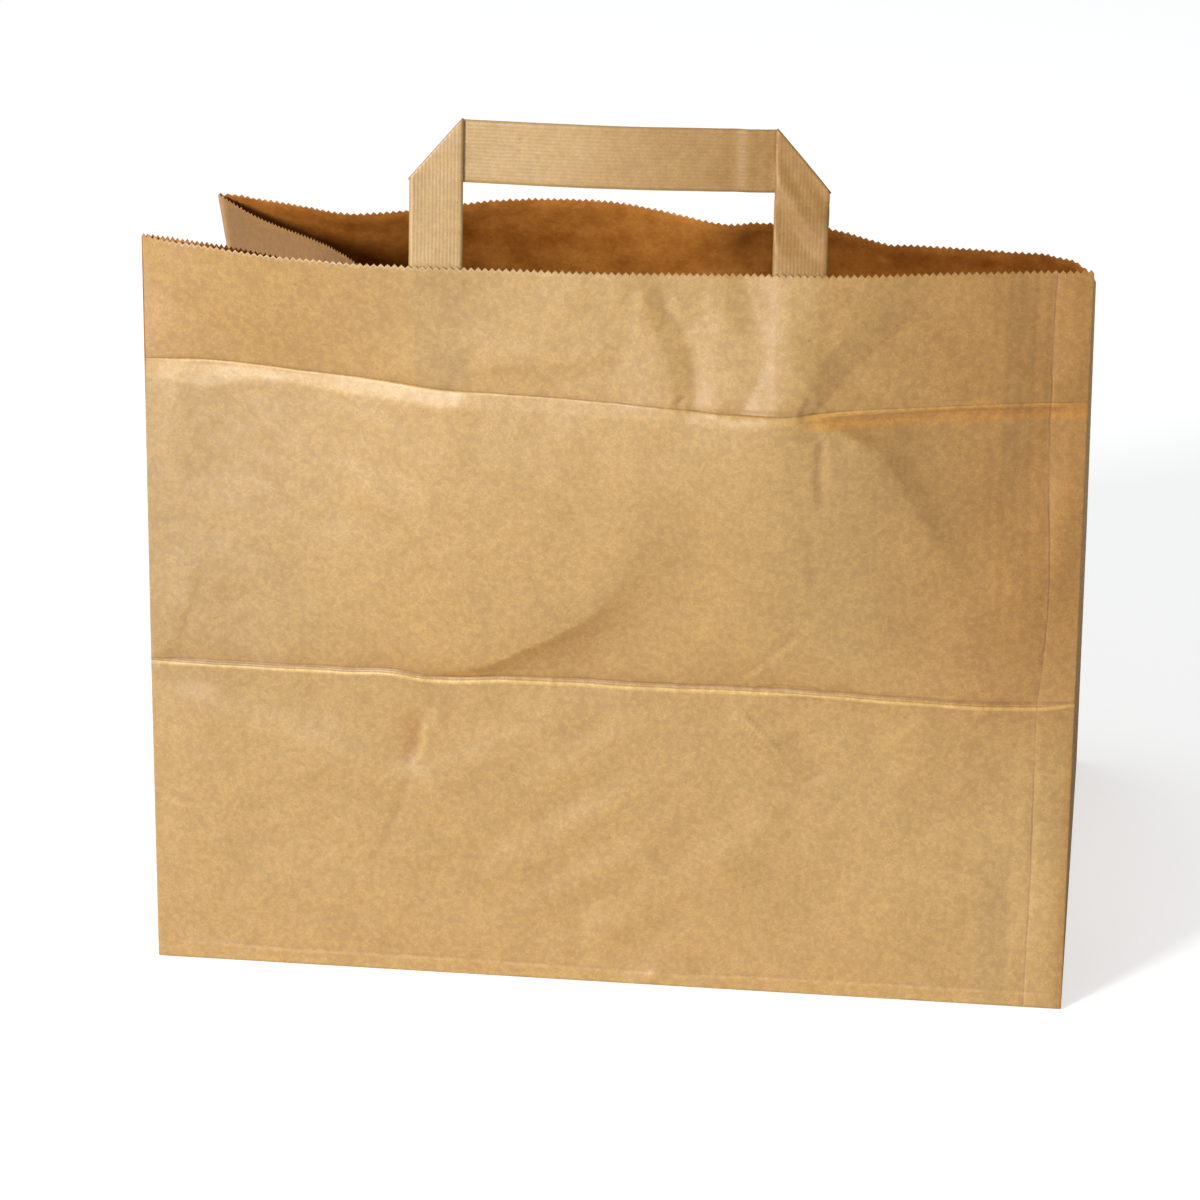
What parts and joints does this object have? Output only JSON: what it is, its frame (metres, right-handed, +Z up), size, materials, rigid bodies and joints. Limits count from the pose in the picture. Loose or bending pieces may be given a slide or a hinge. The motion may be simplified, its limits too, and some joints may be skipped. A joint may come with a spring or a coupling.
{
  "type": "paper carrier bag",
  "caption": "Upright kraft paper carrier bag with a block bottom, folded side gussets, a pinked top edge and a flat strap handle.",
  "frame": {"origin": "on the underside of the base, at the middle of its rectangle", "axes": "+Z up out of the mouth, -Y towards the front panel that carries the handle, +X to the right seen from the front"},
  "size_m": [0.32, 0.2323, 0.3077],
  "materials": {
    "kraft_paper": "matte",
    "strap_kraft_paper": "matte"
  },
  "bodies": {
    "root": {"bag_body": "kraft_paper", "handle_strap": "strap_kraft_paper"}
  },
  "joints": []
}
